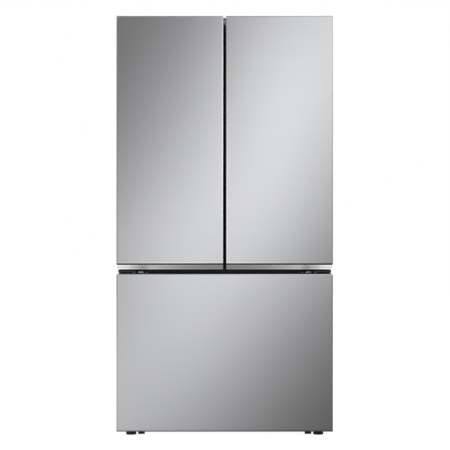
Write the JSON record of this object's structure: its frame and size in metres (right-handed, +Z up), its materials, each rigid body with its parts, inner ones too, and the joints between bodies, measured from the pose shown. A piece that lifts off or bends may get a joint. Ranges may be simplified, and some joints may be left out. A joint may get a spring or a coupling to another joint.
{
  "type": "french door refrigerator",
  "caption": "Freestanding refrigerator with two side-hinged upper doors over a full-width freezer drawer, finger-pocket handle strips and brushed steel fronts.",
  "frame": {"origin": "middle of the footprint on the floor", "axes": "+X to the right of someone facing the doors, +Y into the cabinet, +Z up"},
  "size_m": [0.908, 0.74, 1.784],
  "materials": {
    "stainless": "brushed stainless steel, fine horizontal grain, satin",
    "handle_metal": "satin anodised extrusion",
    "case_paint": "textured grey paint",
    "zinc_sheet": "galvanised sheet",
    "bracket_steel": "dark grey paint over pressed steel",
    "bright_steel": "bright zinc plate",
    "black_paint": "satin black enamel",
    "liner_white": "glossy white moulding",
    "foam": "rigid foam, unseen",
    "cap_plastic": "dark grey moulding, fine grain",
    "white_plastic": "white moulding",
    "seal_rubber": "soft grey gasket",
    "clear_plastic": "clear moulding",
    "shelf_glass": "clear toughened glass",
    "fin_aluminium": "bare aluminium",
    "black_plastic": "black moulding",
    "nylon": "dark nylon"
  },
  "bodies": {
    "cabinet": {"outer_case": "case_paint", "rear_panel": "zinc_sheet", "cabinet_insulation": "foam", "fridge_liner": "liner_white", "freezer_liner": "liner_white", "mullion_rail": "bracket_steel", "base_frame": "zinc_sheet", "roller_axles": "bright_steel", "door_hinges": "bracket_steel", "top_covers": "cap_plastic", "hinge_screws": "bright_steel", "compressor": "black_paint", "condenser": "fin_aluminium", "drain_pan": "black_plastic", "fan_mounts": "black_plastic", "evaporator": "fin_aluminium", "machine_cover": "black_plastic", "back_fittings": "black_plastic", "air_duct": "white_plastic", "shelf_rails": "bright_steel", "shelf_frames": "white_plastic", "shelf_glass": "shelf_glass", "crispers": "clear_plastic", "pantry_drawer": "clear_plastic", "freezer_duct_panel": "white_plastic", "cabinet_slides": "bright_steel"},
    "levelling_leg_left": {"levelling_leg_left": "nylon"},
    "levelling_leg_right": {"levelling_leg_right": "nylon"},
    "front_rollers": {"front_rollers": "nylon"},
    "rear_rollers": {"rear_rollers": "nylon"},
    "condenser_fan": {"condenser_fan": "black_plastic"},
    "evaporator_fan": {"evaporator_fan": "white_plastic"},
    "humidity_slider_left": {"humidity_slider_left": "white_plastic"},
    "humidity_slider_right": {"humidity_slider_right": "white_plastic"},
    "left_door": {"left_door_skin": "stainless", "left_door_core": "foam", "left_door_liner": "liner_white", "left_door_handle": "handle_metal", "left_door_end_caps": "cap_plastic", "left_door_gasket": "seal_rubber", "left_door_bins": "clear_plastic"},
    "right_door": {"right_door_skin": "stainless", "right_door_core": "foam", "right_door_liner": "liner_white", "right_door_handle": "handle_metal", "right_door_end_caps": "cap_plastic", "right_door_gasket": "seal_rubber", "right_door_bins": "clear_plastic"},
    "mullion_flap": {"mullion_flap": "cap_plastic"},
    "dairy_lid": {"dairy_lid": "clear_plastic"},
    "freezer_drawer": {"drawer_skin": "stainless", "drawer_top_cap": "cap_plastic", "drawer_liner": "liner_white", "drawer_core": "foam", "drawer_gasket": "seal_rubber", "freezer_basket": "white_plastic", "drawer_slides": "bright_steel"},
    "basket_divider": {"basket_divider": "white_plastic"},
    "middle_slides": {"middle_slides": "bright_steel"},
    "freezer_tray": {"freezer_tray": "clear_plastic"}
  },
  "joints": [
    {"name": "door_left_swing", "type": "hinge", "parent": "cabinet", "child": "left_door", "pos_m": [-0.43, -0.33, 1.2], "axis": [0, 0, -1], "range_deg": [0, 120]},
    {"name": "door_right_swing", "type": "hinge", "parent": "cabinet", "child": "right_door", "pos_m": [0.43, -0.33, 1.2], "axis": [0, 0, 1], "range_deg": [0, 120]},
    {"name": "drawer_slide", "type": "slide", "parent": "cabinet", "child": "freezer_drawer", "axis": [0, -1, 0], "range_m": [0, 0.44]},
    {"name": "drawer_middle_slide", "type": "slide", "parent": "cabinet", "child": "middle_slides", "axis": [0, -1, 0], "range_m": [0, 0.22]},
    {"name": "flap_fold", "type": "hinge", "parent": "left_door", "child": "mullion_flap", "pos_m": [-0.026, -0.264, 1.2], "axis": [0, 0, -1], "range_deg": [0, 90]},
    {"name": "dairy_lid_tip", "type": "hinge", "parent": "right_door", "child": "dairy_lid", "pos_m": [0.215, -0.297, 1.547], "axis": [1, 0, 0], "range_deg": [0, 85]},
    {"name": "freezer_tray_slide", "type": "slide", "parent": "freezer_drawer", "child": "freezer_tray", "axis": [0, 1, 0], "range_m": [0, 0.15]},
    {"name": "divider_slide", "type": "slide", "parent": "freezer_drawer", "child": "basket_divider", "axis": [1, 0, 0], "range_m": [-0.25, 0.25]},
    {"name": "humidity_left_slide", "type": "slide", "parent": "cabinet", "child": "humidity_slider_left", "axis": [-1, 0, 0], "range_m": [0, 0.03]},
    {"name": "humidity_right_slide", "type": "slide", "parent": "cabinet", "child": "humidity_slider_right", "axis": [1, 0, 0], "range_m": [0, 0.03]},
    {"name": "leg_left_turn", "type": "hinge", "parent": "cabinet", "child": "levelling_leg_left", "pos_m": [-0.4, -0.244, 0.02], "axis": [0, 0, 1], "continuous": true},
    {"name": "leg_right_turn", "type": "hinge", "parent": "cabinet", "child": "levelling_leg_right", "pos_m": [0.4, -0.244, 0.02], "axis": [0, 0, 1], "continuous": true},
    {"name": "roller_front_spin", "type": "hinge", "parent": "cabinet", "child": "front_rollers", "pos_m": [0, -0.244, 0.0185], "axis": [1, 0, 0], "continuous": true},
    {"name": "roller_rear_spin", "type": "hinge", "parent": "cabinet", "child": "rear_rollers", "pos_m": [0, 0.32, 0.02], "axis": [1, 0, 0], "continuous": true},
    {"name": "fan_condenser_spin", "type": "hinge", "parent": "cabinet", "child": "condenser_fan", "pos_m": [-0.008, 0.23, 0.15], "axis": [1, 0, 0], "continuous": true},
    {"name": "fan_evaporator_spin", "type": "hinge", "parent": "cabinet", "child": "evaporator_fan", "pos_m": [0, 0.25, 0.56], "axis": [0, 1, 0], "continuous": true}
  ],
  "couplings": [
    {"joint": "drawer_middle_slide", "follows": "drawer_slide", "ratio": 0.5}
  ]
}
